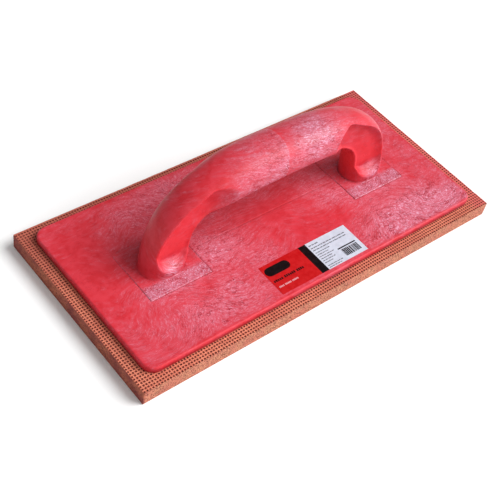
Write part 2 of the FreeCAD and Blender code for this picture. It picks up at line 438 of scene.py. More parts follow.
def steel_material():
    """Zinc plate over turned steel, with rings along the screw."""
    m = Nodes("zinc_plated_steel")
    turned = m.noise(m.vmath("MULTIPLY", m.coords(), (1.0, 1.0, 7.0)), 0.9, 3.0, 0.6)
    m.drive(Base_Color=m.mix(m.span(turned, 0.3, 0.7), *ZINC),
            Roughness=m.span(turned, 0.3, 0.7, 0.22, 0.42),
            Normal=m.bump(turned, 0.03, 0.6))
    m.constant("Metallic", 1.0)
    return m.mat


def film_material(name, colour, spread):
    """Printed self-adhesive film in one ink colour, with a mottle of spread either way."""
    m = Nodes(name)
    mottle = m.noise(m.coords(), 0.35, 4.0, 0.6)
    dark = [max(0, c - spread) for c in colour]
    light = [min(255, c + spread) for c in colour]
    m.drive(Base_Color=m.mix(m.span(mottle, 0.3, 0.7), srgb(*dark), srgb(*light)),
            Roughness=m.span(mottle, 0.3, 0.7, 0.30, 0.43),
            Normal=m.bump(mottle, 0.03, 0.4))
    m.constant("Specular IOR Level", 0.18)
    return m.mat


def floor_material():
    """Pale floor with no shine."""
    m = Nodes("studio_floor")
    pale = m.mix(m.noise(m.coords(), 0.002, 2.0), (0.93, 0.93, 0.93, 1), (0.95, 0.95, 0.95, 1))
    m.drive(Base_Color=pale)
    m.constant("Roughness", 1.0)
    m.constant("Specular IOR Level", 0.0)
    return m.mat


# ---- rubber slab

PITCH = 1.93              # spacing of the moulded dimples
PIT_HALF = 0.60           # half width of a dimple at its mouth
PIT_FLOOR = 0.50          # and at its bottom
PIT_DEPTH = 0.55
PIT_SPREAD = 0.15         # fraction that the bottoms differ by in width
PIT_SHALLOW = 0.75        # the shallowest dimple's fraction of the depth
PIT_OFFSET = 0.06         # how far a dimple's bottom is off its centre
FIRST_DIMPLE = (0.66, 0.74)   # from the left edge and from the near edge
LAST_GAP = 0.1            # at least this much skin is left at the far edges
SIDE_ROWS = 12            # rows of faces up the cut sides
MARGIN = 11.0             # on the bonded face only dimples this near to an edge are modelled
ON_EDGE = 0.01            # a point this near to a side of the CAD box is on it
DRIFT, DRIFT_WAVE = 0.30, 14.0    # how far the rows of dimples wander
DRIFT_INSET = (0.05, 3.0)         # where the wandering starts and is full
CUT_INSET, CUT_DEEPEST = 0.10, 0.4    # how far the saw cut lies inside the CAD box
CUT_GRAIN, CUT_GRAIN_WAVE = 0.10, 1.3
CUT_SWAY, CUT_SWAY_WAVE = 0.12, 11.0
RIM_WEAR, RIM_DEEPEST = 0.12, 0.3     # rounding of the rims above and below the cut
SKIN_RIPPLE, SKIN_WAVE = 0.04, 2.1
PAD_CREASE = 38           # degrees
SKIN, CUT = 0, 1          # the slab's two materials


def grid_lines(low, high, first):
    """Cutting lines either side of each dimple, and the dimple centres."""
    centres = []
    c = low + first
    while c < high - PIT_HALF - LAST_GAP:
        centres.append(c)
        c += PITCH
    lines = [low]
    for c in centres:
        lines += [c - PIT_HALF, c + PIT_HALF]
    lines.append(high)
    return lines, centres


class PadMesh:
    """A box cut into a grid, with a square dimple in every other cell of its two big faces."""

    def __init__(self):
        self.xs, self.x_centres = grid_lines(PAD_LO[0], PAD_HI[0], FIRST_DIMPLE[0])
        self.ys, self.y_centres = grid_lines(PAD_LO[1], PAD_HI[1], FIRST_DIMPLE[1])
        self.zs = np.linspace(PAD_LO[2], PAD_HI[2], SIDE_ROWS + 1)
        self.index = {}
        self.points, self.pit = [], []
        self.faces, self.kinds = [], []
        self.add_big_face(SIDE_ROWS, top=True)
        self.add_big_face(0, top=False)
        self.add_sides()

    def corner(self, i, j, k):
        """The point where three cutting planes meet, made once."""
        if (i, j, k) not in self.index:
            self.index[i, j, k] = len(self.points)
            self.points.append((self.xs[i], self.ys[j], self.zs[k]))
            self.pit.append(0.0)
        return self.index[i, j, k]

    def add(self, face, kind):
        self.faces.append(face)
        self.kinds.append(kind)

    def add_big_face(self, level, top):
        for i in range(len(self.xs) - 1):
            for j in range(len(self.ys) - 1):
                ring = [self.corner(i, j, level), self.corner(i + 1, j, level),
                        self.corner(i + 1, j + 1, level), self.corner(i, j + 1, level)]
                if not top:
                    ring.reverse()
                if i % 2 == 1 and j % 2 == 1:
                    cx, cy = self.x_centres[i // 2], self.y_centres[j // 2]
                    to_edge = min(cx - PAD_LO[0], PAD_HI[0] - cx, cy - PAD_LO[1], PAD_HI[1] - cy)
                    if to_edge < MARGIN or not top:
                        self.add_dimple(ring, cx, cy, self.zs[level], top)
                        continue
                self.add(ring, SKIN)

    def add_dimple(self, ring, cx, cy, z, top):
        depth = PIT_DEPTH * random.uniform(PIT_SHALLOW, 1.0)
        wide = PIT_FLOOR * random.uniform(1.0 - PIT_SPREAD, 1.0 + PIT_SPREAD)
        x = cx + random.uniform(-PIT_OFFSET, PIT_OFFSET)
        y = cy + random.uniform(-PIT_OFFSET, PIT_OFFSET)
        bottom = z - depth if top else z + depth
        floor = []
        for v in ring:
            px, py = self.points[v][:2]
            floor.append(len(self.points))
            self.points.append((x + math.copysign(wide, px - cx),
                                y + math.copysign(wide, py - cy), bottom))
            self.pit.append(1.0)
        for a in range(4):
            b = (a + 1) % 4
            self.add([ring[a], ring[b], floor[b], floor[a]], SKIN)
        self.add(floor, SKIN)

    def add_sides(self):
        nx, ny = len(self.xs) - 1, len(self.ys) - 1
        runs = []
        for i in range(nx):
            runs += [((i, 0), (i + 1, 0)), ((i + 1, ny), (i, ny))]
        for j in range(ny):
            runs += [((0, j + 1), (0, j)), ((nx, j), (nx, j + 1))]
        for k in range(SIDE_ROWS):
            for a, b in runs:
                self.add([self.corner(*a, k), self.corner(*b, k),
                          self.corner(*b, k + 1), self.corner(*a, k + 1)], CUT)


def worn_pad(points, pit):
    """The slab's points with wandering dimples, an uneven saw cut and soft rims."""
    start = np.array(points)
    p = start.copy()
    in_x, in_y = side_distances(p, PAD_LO, PAD_HI)
    inside = np.minimum(in_x, in_y)
    outline = inside < ON_EDGE
    drift = DRIFT * smoothstep(*DRIFT_INSET, inside)
    p[:, 0] += drift * noise3(start, DRIFT_WAVE, 1.0)
    p[:, 1] += drift * noise3(start, DRIFT_WAVE, 2.0)

    rough = noise3(start, CUT_GRAIN_WAVE, 3.0) * CUT_GRAIN
    rough += noise3(start, CUT_SWAY_WAVE, 4.0) * CUT_SWAY
    push = np.where(outline, np.clip(CUT_INSET + rough, 0.0, CUT_DEEPEST), 0.0)
    top_rim = outline & (p[:, 2] > PAD_HI[2] - ON_EDGE)
    low_rim = outline & (p[:, 2] < PAD_LO[2] + ON_EDGE)
    push += np.where(top_rim | low_rim, RIM_WEAR, 0.0)
    for axis, distance in ((0, in_x), (1, in_y)):
        p[:, axis] -= np.where(distance < ON_EDGE, push * np.sign(p[:, axis]), 0.0)
    drop = np.clip(RIM_WEAR * (1.0 + np.abs(rough) / CUT_GRAIN), 0.0, RIM_DEEPEST)
    p[:, 2] -= np.where(top_rim, drop, 0.0)
    p[:, 2] += np.where(low_rim, drop, 0.0)

    skin = (np.array(pit) < 0.5) & ~outline & (p[:, 2] > 0.5 * (PAD_LO[2] + PAD_HI[2]))
    p[:, 2] += np.where(skin, SKIN_RIPPLE * (noise3(start, SKIN_WAVE, 5.0) - 1.0), 0.0)
    return p


def build_pad():
    grid = PadMesh()
    obj = new_object("rubber_slab", worn_pad(grid.points, grid.pit), grid.faces)
    obj.data.polygons.foreach_set("material_index", grid.kinds)
    obj.data.set_sharp_from_angle(angle=math.radians(PAD_CREASE))
    store(obj.data, "pit", grid.pit)
    obj.data.materials.append(rubber_material())
    obj.data.materials.append(cut_rubber_material())
    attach(obj, "root")
    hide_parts("rubber_pad")


# ---- plate

GATE = (2.0, 4.0)         # injection point
CHANNEL = 120.0           # width of the plate, which the melt spreads to fill
SOURCE_BLUR = 16.0        # keeps the flow lines from meeting at one point
SWIRLS = (                # x, y, radius, turn in radians
    (92, -44, 30, 0.9),
    (-104, -34, 26, -1.3),
    (-60, 44, 28, 0.8),
    (104, 30, 22, -0.6),
    (48, -42, 18, -0.4),
    (-112, 22, 20, 0.6),
)
PLATE_PEARL = 0.31        # silvery pigment away from the patches
PEARL_MOST = 1.2
# where the pigment gathers (positive) or is washed out (negative), and in two patches a painted
# sheen as well: x, y, rx, ry, amount
PEARL_AND_SHEEN_PLATE = (
    # partly real marbling and partly painted sheen from the lamp
    (-48, -10, 20, 13, 0.70),
    (-84, -16, 20, 8, 0.70),
    (80, -16, 22, 9, 0.60),
    # partly real marbling and partly painted sheen from the lamp
    (92, -50, 38, 13, 1.60),
    (-22, -27, 16, 8, 0.25),
    (46, -10, 12, 10, 0.40),
    (6, -18, 30, 12, -0.10),
    (-70, -46, 36, 12, 0.60),
    (-50, 46, 34, 12, 0.40),
    (4, 1, 13, 8, -0.70),
    (24, -26, 20, 9, -0.70),
    (-120, 20, 18, 40, -0.50),
    (118, 0, 14, 30, 0.10),
    (72, -38, 22, 14, 0.20),
    (-56, -35, 9, 6, 0.55),
)
RIM_CLEAN = 0.75          # fraction of the pigment that is missing from the rolled edge
RIM_REACH = (2.4, 0.9)    # distances from the edge where that starts and is full

GRID_START, GRID_STEP = 0.7, 2.0      # cuts across the plate's top face
TOP_BAND, TOP_SKIN = 0.2, 0.02        # faces this near to the top are cut, and points are on it
MERGE, PLATE_SNAP = 1e-6, 1e-7        # metres
FLAT_ANGLE = 0.3          # degrees, faces that meet at less are one face
WARP, WARP_WAVE = 0.10, 26.0
DIMPLING, DIMPLING_WAVE = 0.03, 7.0
WARP_SINK = 0.02          # keeps most of the warped face under the CAD face
WARP_INSET = (1.0, 6.0)   # distances from the edge where the warp starts and is full
GROOVE_Y, GROOVE_X = 0.5, (-56.0, 56.0)   # faint groove along the middle of the plate
GROOVE_HALF, GROOVE_DEPTH = 0.4, 0.22
PLATE_CREASE = 35


def plate_flow(p):
    """Flow coordinates on the plate: a source spreading in a channel, stirred by swirls."""
    x, y = p[:, 0].copy(), p[:, 1].copy()
    for cx, cy, radius, turn in SWIRLS:
        dx, dy = x - cx, y - cy
        a = turn * np.exp(-(dx * dx + dy * dy) / (radius * radius))
        c, s = np.cos(a), np.sin(a)
        x, y = cx + c * dx - s * dy, cy + s * dx + c * dy
    z = np.abs(x - GATE[0]) + SOURCE_BLUR + 1j * (y - GATE[1])
    w = np.log(np.sinh(math.pi * z / CHANNEL)) * CHANNEL / math.pi
    return np.stack([w.real, w.imag, 0.35 * x + p[:, 2]], 1)


def plate_pearl_and_sheen(p):
    """How much silvery pigment shows at each point of the plate, with painted sheen where the
    lamp's reflection falls.
    """
    amount = np.full(len(p), PLATE_PEARL)
    for cx, cy, rx, ry, strength in PEARL_AND_SHEEN_PLATE:
        amount += strength * np.exp(-((p[:, 0] - cx) / rx) ** 2 - ((p[:, 1] - cy) / ry) ** 2)
    amount = np.clip(amount, 0.0, PEARL_MOST)
    inside = np.minimum(*side_distances(p, PLATE_LO, PLATE_HI))
    return amount * (1.0 - RIM_CLEAN * smoothstep(*RIM_REACH, inside))


def cut_plate_top(mesh):
    """Cuts the top face into a grid, with lines along the groove's middle and both sides."""
    bm = bmesh.new()
    bm.from_mesh(mesh)
    bmesh.ops.remove_doubles(bm, verts=bm.verts, dist=MERGE)
    flat = math.radians(FLAT_ANGLE)
    bmesh.ops.dissolve_limit(bm, angle_limit=flat, verts=bm.verts, edges=bm.edges)
    level = (PLATE_HI[2] - TOP_BAND) * MM

    def on_top(face):
        return face.normal.z > 0.9 and face.calc_center_median().z > level

    for axis in (0, 1):
        stops = list(np.arange(PLATE_LO[axis] + GRID_START, PLATE_HI[axis], GRID_STEP))
        if axis == 1:
            stops += [GROOVE_Y - GROOVE_HALF, GROOVE_Y, GROOVE_Y + GROOVE_HALF]
        for stop in stops:
            cut_faces(bm, axis, stop, on_top, PLATE_SNAP)
    bmesh.ops.triangulate(bm, faces=[f for f in bm.faces if len(f.verts) > 4])
    bm.to_mesh(mesh)
    bm.free()


def build_plate():
    """The plate's CAD shape, with an uneven top face and a faint groove in it."""
    obj = node_copy("backing_plate", "moulded_plate")
    cut_plate_top(obj.data)
    p = mesh_points(obj.data)
    top = p[:, 2] > PLATE_HI[2] - TOP_SKIN
    inside = np.minimum(*side_distances(p, PLATE_LO, PLATE_HI))
    wave = WARP * noise3(p, WARP_WAVE, 6.0, fine=True) + DIMPLING * noise3(p, DIMPLING_WAVE, 7.0)
    p[:, 2] += np.where(top, smoothstep(*WARP_INSET, inside) * (wave - WARP_SINK), 0.0)
    groove = top & (np.abs(p[:, 1] - GROOVE_Y) < 0.5 * GROOVE_HALF)
    groove &= (p[:, 0] > GROOVE_X[0]) & (p[:, 0] < GROOVE_X[1])
    p[:, 2] -= np.where(groove, GROOVE_DEPTH, 0.0)
    set_points(obj.data, p)
    shade(obj.data, PLATE_CREASE)
    store(obj.data, "flow", plate_flow(p))
    store(obj.data, "pearl_and_painted_light", plate_pearl_and_sheen(p))
    obj.data.materials.append(plastic_material("marbled_plastic_plate", *PLATE_MARBLE))
    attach(obj, "root")
    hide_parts("backing_plate")


# ---- handle

FLANGE_TOP = PLATE_HI[2] + 0.4
FLANGE_BASE = FLANGE_TOP - 2.0
FLANGE_HALF = (21.8, 20.5)
FLANGE_BEVEL = 0.35       # slope round the top of the flange
FLANGE_OVERHANG = 0.05    # narrows the gap round it in the plate's rebate
FLANGE_GRID_START, FLANGE_GRID = 2.0, 2.5     # cuts across the flange's top
FOOT_X = 80.5
PLASTIC_SHIFT_X = -0.5    # the flanges' middle, off the slab's centre
ARCH_SHIFT_X = -0.8       # the arch's middle
GRIP_AXIS_Z = 68.5        # height of the grip's centre line
LEG_X, SPLAY = 80.8, 4.4
ARCH_POWER, SECTION_POWER = 3.2, 2.2      # superellipse powers
CURVE_STEPS, ALONG_STEPS, ROUND_STEPS = 4001, 420, 220
TANGENT_SPAN = 0.01       # fraction of the half arch either side, for a tangent
FOOT_STRAIGHT = 0.002     # nearer the foot than this the arch goes straight up
CROWN_STRAIGHT = 0.9985   # nearer the crown than this it is level
# fraction of the half arch from foot to crown, half width in Y, half depth in the arch plane
SECTION_TABLE = (
    (0.00, 12.0, 14.6), (0.12, 13.2, 13.8), (0.30, 13.8, 12.5),
    (0.50, 14.3, 12.3), (0.72, 15.3, 13.2), (1.00, 15.5, 13.3),
)
ROOT_FILLET = 0.5
SURFACE_WAVES = ((0.10, 9.0, 8.0), (0.05, 3.5, 9.0))      # height, wavelength, seed
SURFACE_SINK = 0.05
HANDLE_CREASE = 40

STEP_ARC = -6.8           # along the arch from the crown to a faint step round the grip
STEP_LEAN = 2.6           # the step leans this far to the right over the top
STEP_HALF = 0.4           # half its width
STEP_HEIGHT, STEP_RADIUS = 0.22, 14.0     # on a grip of about this radius
STEP_FADE = (-70.0, -30.0)    # along the arch, where the raised side begins and is full

WEB_HALF = 4.8            # half thickness of the web between the two recesses
RECESS_TOP = (0.612, 0.690)   # fraction of the half arch where the left and right recesses end
RIM = 0.044               # fraction where the recess starts, just above the flange
SHELF_DROP = 4.6          # along the leg from the web down the sloping shelf to the rim
SHELF_RISE = 7.5          # how much the shelf widens on the way
SHELF_CURL, SHELF_HALF, SHELF_POWER = 2.0, 11.5, 2.5      # the shelf's ends turn up
BOWL_HALF, BOWL_HEIGHT, BOWL_POWER = 11.9, 12.5, 1.9      # rounded lower end of the recess
BOWL_START, BOWL_STEEP = 0.83, 24.0       # its wall starts at this fraction of its outline
BOWL_OPEN, BOWL_OPEN_FROM, BOWL_OPEN_TO = 8.0, 7.0, 15.0  # the wall gives way above the bowl
# fraction, start of the outer wall, its steepness, start of the inner wall, its steepness
WALL_TABLE = (
    (0.00, 3.0, 0.10, 8.0, 0.16), (0.18, 3.0, 0.13, 8.0, 0.16),
    (0.28, 3.5, 0.24, 8.0, 0.16), (0.38, 4.2, 0.42, 8.0, 0.18),
    (0.48, 4.6, 0.62, 8.0, 0.20), (0.58, 4.2, 0.34, 7.0, 0.20),
    (0.70, 4.0, 0.30, 6.0, 0.20),
)
FAR_STEEPNESS = (0.50, 0.60)  # least steepness of the outer and inner walls on the far side
TIP_LENGTH = (19.0, 14.0)     # how far the floor rises towards the left and right upper ends
TIP_RISE, TIP_POWER, TIP_MOST = 10.5, 1.6, 3.0
TIP_AHEAD = 0.4           # the upper end, with its corners drawn down
TIP_DRAW, TIP_HALF, TIP_ROUND = 6.0, 10.6, 2.6
LIP_OUTER, LIP_INNER, LIP_LOW = 2.0, 2.8, 2.6     # blending widths of the lips
LIP_TURN = (-2.0, -7.0)   # across the section, from the outer lip to the inner one
LIP_LOW_REACH = (0.17, 0.10)
CREASE_ROUND = 1.0        # blending width inside the recess


def arch_line(v):
    """Centre line at v, from -1 at the left foot to 1 at the right: x, z, the outward
    normal's x and z, and the distance along the arch from the crown."""
    t = np.linspace(0.0, 0.5 * math.pi, CURVE_STEPS)
    rise = GRIP_AXIS_Z - FLANGE_TOP
    z = rise * np.sin(t) ** (2.0 / ARCH_POWER)
    reach = (LEG_X - SPLAY) * np.maximum(0.0, np.cos(t)) ** (2.0 / ARCH_POWER)
    x = reach + SPLAY * (1.0 - z / rise)
    length = np.concatenate([[0.0], np.cumsum(np.hypot(np.diff(x), np.diff(z)))])
    u = 1.0 - np.abs(v)

    def at(fraction):
        d = np.clip(fraction, 0.0, 1.0) * length[-1]
        return np.interp(d, length, x), np.interp(d, length, z)

    cx, cz = at(u)
    xa, za = at(u - TANGENT_SPAN)
    xb, zb = at(u + TANGENT_SPAN)
    upright, level = u < FOOT_STRAIGHT, u > CROWN_STRAIGHT
    tx = np.where(upright, 0.0, np.where(level, -1.0, xb - xa))
    tz = np.where(upright, 1.0, np.where(level, 0.0, zb - za))
    size = np.hypot(tx, tz)
    side = np.where(v < 0, -1.0, 1.0)
    return ARCH_SHIFT_X + side * cx, FLANGE_TOP + cz, side * tz / size, -tx / size, length[-1] * v


def section_ring():
    """Points spaced evenly round a unit superellipse: along Y, and out from the arch."""
    fine = np.linspace(0.0, 2.0 * math.pi, CURVE_STEPS)
    across = np.sign(np.cos(fine)) * np.abs(np.cos(fine)) ** (2.0 / SECTION_POWER)
    out = np.sign(np.sin(fine)) * np.abs(np.sin(fine)) ** (2.0 / SECTION_POWER)
    run = np.concatenate([[0.0], np.cumsum(np.hypot(np.diff(across), np.diff(out)))])
    at = np.linspace(0.0, run[-1], ROUND_STEPS + 1)[:-1]
    return np.interp(at, run, across), np.interp(at, run, out)


def recess_floor(u, n, left, far, half_length):
    """Distance of the recess's surface from the mid plane, at fraction u of the half arch
    and n out from its centre line.  It is large where there is no recess."""
    start_o, steep_o, start_i, steep_i = (interpolate(WALL_TABLE, u, k) for k in (1, 2, 3, 4))
    steep_o = np.where(far, np.maximum(steep_o, FAR_STEEPNESS[0]), steep_o)
    steep_i = np.where(far, np.maximum(steep_i, FAR_STEEPNESS[1]), steep_i)
    outer = steep_o * np.maximum(0.0, n - start_o) ** 1.5
    leg_red_bounce = steep_i * np.maximum(0.0, -n - start_i) ** 2
    walls = smooth_max(outer, leg_red_bounce, CREASE_ROUND)

    to_tip = (np.where(left, *RECESS_TOP) - u) * half_length + TIP_AHEAD
    to_tip -= TIP_DRAW * (np.abs(n) / TIP_HALF) ** TIP_ROUND
    nearness = np.clip(1.0 - to_tip / np.where(left, *TIP_LENGTH), 0.0, TIP_MOST)
    walls = smooth_max(walls, TIP_RISE * nearness ** TIP_POWER, 2.0 * CREASE_ROUND)

    height = (u - RIM) * half_length
    curl = SHELF_CURL * (np.abs(n) / SHELF_HALF) ** SHELF_POWER
    shelf = SHELF_RISE * (1.0 - (height - curl) / SHELF_DROP)
    low = np.maximum(0.0, BOWL_HEIGHT - height) / BOWL_HEIGHT
    outline = ((np.abs(n) / BOWL_HALF) ** BOWL_POWER + low ** BOWL_POWER) ** (1.0 / BOWL_POWER)
    bowl = BOWL_STEEP * (outline - BOWL_START)
    bowl -= BOWL_OPEN * smoothstep(BOWL_OPEN_FROM, BOWL_OPEN_TO, height)
    foot = smooth_max(shelf, bowl, 3.0 * CREASE_ROUND)
    rise = smooth_max(walls, foot, 1.5 * CREASE_ROUND)
    return WEB_HALF + smooth_max(rise, 0.0, CREASE_ROUND)


def arch_points():
    """The arch's surface as rows of points, each row a section, from left foot to right."""
    v = np.linspace(-1.0, 1.0, ALONG_STEPS + 1)
    unit_y, unit_n = section_ring()
    cx, cz, nx, nz, arc = arch_line(v)
    u = 1.0 - np.abs(v)
    y = unit_y[None, :] * interpolate(SECTION_TABLE, u, 1)[:, None]
    n = unit_n[None, :] * interpolate(SECTION_TABLE, u, 2)[:, None]

    past = arc[:, None] - STEP_ARC - STEP_LEAN * smoothstep(0.3, 1.0, unit_n)[None, :]
    step = smoothstep(STEP_HALF, -STEP_HALF, past) * smoothstep(*STEP_FADE, arc)[:, None]
    swell = 1.0 + STEP_HEIGHT / STEP_RADIUS * step
    n, y = n * swell, y * swell

    u, left = (np.broadcast_to(a[:, None], n.shape) for a in (u, v < 0))
    floor = recess_floor(u, n, left, y > 0.0, arc[-1])
    lip = LIP_OUTER + (LIP_INNER - LIP_OUTER) * smoothstep(*LIP_TURN, n)
    lip = np.maximum(lip, LIP_LOW * smoothstep(*LIP_LOW_REACH, u))
    y = np.sign(y) * smooth_min(np.abs(y), floor, lip)
    return np.stack([cx[:, None] + n * nx[:, None], y, cz[:, None] + n * nz[:, None]], 2)


def add_flange(bm, side, ring):
    """Joins the end ring of a leg to a square flange, side -1 on the left and 1 on the right."""
    middle = Vector((ARCH_SHIFT_X + side * LEG_X, 0.0, FLANGE_TOP)) * MM
    for v in ring:
        out = v.co - middle
        out.z = 0.0
        v.co += out.normalized() * ROOT_FILLET * MM
        v.co.z = FLANGE_TOP * MM
    root = [bm.edges.get((a, b)) for a, b in zip(ring, ring[1:] + ring[:1])]

    foot = PLASTIC_SHIFT_X + side * FOOT_X
    levels = []
    for inset, z in ((FLANGE_BEVEL, FLANGE_TOP), (-FLANGE_OVERHANG, PLATE_HI[2] + TOP_SKIN),
                     (-FLANGE_OVERHANG, FLANGE_BASE)):
        level = []
        for sx, sy in ((-1, -1), (1, -1), (1, 1), (-1, 1)):
            corner = (foot + sx * (FLANGE_HALF[0] - inset), sy * (FLANGE_HALF[1] - inset), z)
            level.append(bm.verts.new(Vector(corner) * MM))
        levels.append(level)
    top, shoulder, base = levels
    rim = [bm.edges.new((a, b)) for a, b in zip(top, top[1:] + top[:1])]
    bmesh.ops.triangle_fill(bm, use_beauty=True, use_dissolve=False, edges=root + rim)
    for low, high in ((shoulder, top), (base, shoulder)):
        for k in range(4):
            m = (k + 1) % 4
            bm.faces.new((low[k], low[m], high[m], high[k]))
    bm.faces.new(list(reversed(base)))

    def on_flange(face):
        centre = face.calc_center_median()
        level = abs(face.normal.z) > 0.99 and abs(centre.z - FLANGE_TOP * MM) < 1e-5
        return level and (centre.x > 0) == (side > 0)

    for axis, centre in ((0, foot), (1, 0.0)):
        low, high = centre - FLANGE_HALF[axis], centre + FLANGE_HALF[axis]
        for stop in np.arange(low + FLANGE_GRID_START, high, FLANGE_GRID):
            cut_faces(bm, axis, stop, on_flange, MERGE)


def build_handle():
    grid = arch_points()
    rows, count = grid.shape[:2]
    faces = []
    for i in range(rows - 1):
        for j in range(count):
            k = (j + 1) % count
            faces.append((i * count + j, i * count + k, (i + 1) * count + k, (i + 1) * count + j))
    obj = new_object("moulded_handle", grid.reshape(-1, 3), faces)
    bm = bmesh.new()
    bm.from_mesh(obj.data)
    verts = list(bm.verts)
    for side, ring in ((-1, verts[:count]), (1, verts[-count:])):
        add_flange(bm, side, ring)
    bmesh.ops.recalc_face_normals(bm, faces=bm.faces)
    bm.to_mesh(obj.data)
    bm.free()

    p = mesh_points(obj.data)
    normal = read_vectors(obj.data.vertex_normals, "vector")
    wave = sum(height * noise3(p, length, seed) for height, length, seed in SURFACE_WAVES)
    wave = (wave - SURFACE_SINK) * smoothstep(FLANGE_TOP + 0.6, FLANGE_TOP + 3.0, p[:, 2])
    p += normal * wave[:, None]
    set_points(obj.data, p)
    shade(obj.data, HANDLE_CREASE)
    flow, pearl_and_painted_light = handle_fields(p, recessed(p, normal))
    store(obj.data, "flow", flow)
    store(obj.data, "pearl_and_painted_light", pearl_and_painted_light)
    obj.data.materials.append(plastic_material("marbled_plastic_handle", *HANDLE_MARBLE))
    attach(obj, "root")
    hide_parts("handle")


# where the pigment gathers or is washed out on the handle, and where highlight and shade are
# painted with it: x, y, z, radius, amount
PEARL_AND_PAINTED_LIGHT_HANDLE = (
    # painted highlight on top of the grip
    (18, -8, 79, 15, 1.10),
    (-12, -15, 66, 16, 0.45),
    (62, 0, 78, 16, -0.35),
    # painted shade: pigment washed out on the left of the grip, away from the lamp
    (-60, 6, 72, 18, -0.60),
    (-38, -15, 62, 15, 0.40),
    # painted highlights in the two bowls at the feet
    (80, -12, 22, 9, 1.30),
    (-81, -12, 22, 9, 1.20),
    # painted shade: pigment washed out on the left leg's outer side
    (-90, 2, 50, 24, -0.60),
)
LEG_PEARL, GRIP_PEARL, RIGHT_PEARL = 0.06, 0.26, 0.14     # the last is added towards the right
# the second is a painted highlight on the flanges' front edges
FLANGE_PEARL, FLANGE_FRONT_HIGHLIGHT = 0.22, 0.95
FLANGE_EDGE_Y = (-10.0, -13.0)
FLECK_STRETCH = 2.2
MEET_LEFT, MEET_LEFT_FADE = 0.34, 22.0      # pigment piled up before the step round the grip
MEET_RIGHT, MEET_RIGHT_FADE = -0.25, 6.0    # and washed out just past it
RECESS_CLEAN = 0.75       # fraction of the pigment that is missing from a recess
RECESS_BELOW, RED_BOUNCE_BELOW = 0.12, 0.25        # below zero the plastic is plain clear red
RED_BOUNCE_LEG = (64.0, 34.0, 15.0)              # x, z and radius of the right leg's shaded inner face, made plain red as painted red bounce light


def recessed(p, normal):
    """1 on the floors of the recesses and 0 elsewhere."""
    sunk = smoothstep(9.0, 7.0, np.abs(p[:, 1]))
    sunk *= smoothstep(30.0, 44.0, np.abs(p[:, 0] - ARCH_SHIFT_X))
    return sunk * smoothstep(0.5, 0.9, np.abs(normal[:, 1])) * (p[:, 2] > FLANGE_TOP + 1.0)


def handle_fields(p, sunk):
    """Flow along the arch, and how much silvery pigment shows, with painted highlight, painted
    shade and painted red bounce light worked into it; sunk is 1 in the recesses.
    """
    mid = 0.5 * (HANDLE_LO[0] + HANDLE_HI[0])
    x, y, z = p[:, 0] - mid, p[:, 1], p[:, 2]
    up = smoothstep(20.0, 60.0, z)
    along = x * (0.3 + 0.7 * up) + np.sign(x) * (70.0 - z) * (1.0 - up)
    across = y + (z - 66.0) * up * 0.8 + 0.25 * x * up
    # the flanges have short flecks, and in the bowls the flow turns
    flange = smoothstep(FLANGE_TOP + 0.6, FLANGE_TOP + 0.3, z)
    along = along * (1.0 - flange) + FLECK_STRETCH * x * flange
    bowl = sunk * smoothstep(33.0, 27.0, z)
    along, across = along * (1.0 - bowl) + x * bowl, across + 0.7 * z * bowl
    flow = np.stack([along, across, 0.3 * x + 0.4 * z], 1)

    pearl_and_painted_light = GRIP_PEARL + RIGHT_PEARL * smoothstep(-20.0, 50.0, x) * up
    pearl_and_painted_light += (FLANGE_PEARL * flange + LEG_PEARL - GRIP_PEARL) * (1.0 - up)
    # the flanges' front edges, facing the lamp, get extra pigment as painted highlight
    pearl_and_painted_light += flange * FLANGE_FRONT_HIGHLIGHT * smoothstep(*FLANGE_EDGE_Y, y)
    # the melt fronts from the two ends meet at the step round the grip
    past = p[:, 0] - (ARCH_SHIFT_X + STEP_ARC + STEP_LEAN * smoothstep(72.0, 82.0, z))
    meet = np.where(past < 0.0, MEET_LEFT * np.exp(past / MEET_LEFT_FADE),
                    MEET_RIGHT * np.exp(-past / MEET_RIGHT_FADE))
    pearl_and_painted_light += meet * smoothstep(55.0, 62.0, z)
    for cx, cy, cz, radius, strength in PEARL_AND_PAINTED_LIGHT_HANDLE:
        d2 = (p[:, 0] - cx) ** 2 + (y - cy) ** 2 + (z - cz) ** 2
        pearl_and_painted_light += strength * np.exp(-d2 / radius ** 2)
    pearl_and_painted_light = np.clip(pearl_and_painted_light, 0.0, PEARL_MOST)

    # the recesses are clean, most of all at the bottom, and the right leg's inner face is made
    # plain red as painted red bounce light
    deep = sunk * smoothstep(24.0, 30.0, z)
    clean = deep * smoothstep(74.0, 34.0, z)
    rest = (1.0 - RECESS_CLEAN) * pearl_and_painted_light
    pearl_and_painted_light = pearl_and_painted_light * (1.0 - RECESS_CLEAN * deep) - (rest + RECESS_BELOW) * clean
    leg_x, leg_z, radius = RED_BOUNCE_LEG
    leg_red_bounce = np.exp(-((p[:, 0] - leg_x) ** 2 + (z - leg_z) ** 2) / radius ** 2)
    return flow, pearl_and_painted_light - (pearl_and_painted_light + RED_BOUNCE_BELOW) * leg_red_bounce * (1.0 - sunk) * (1.0 - flange)


# ---- label

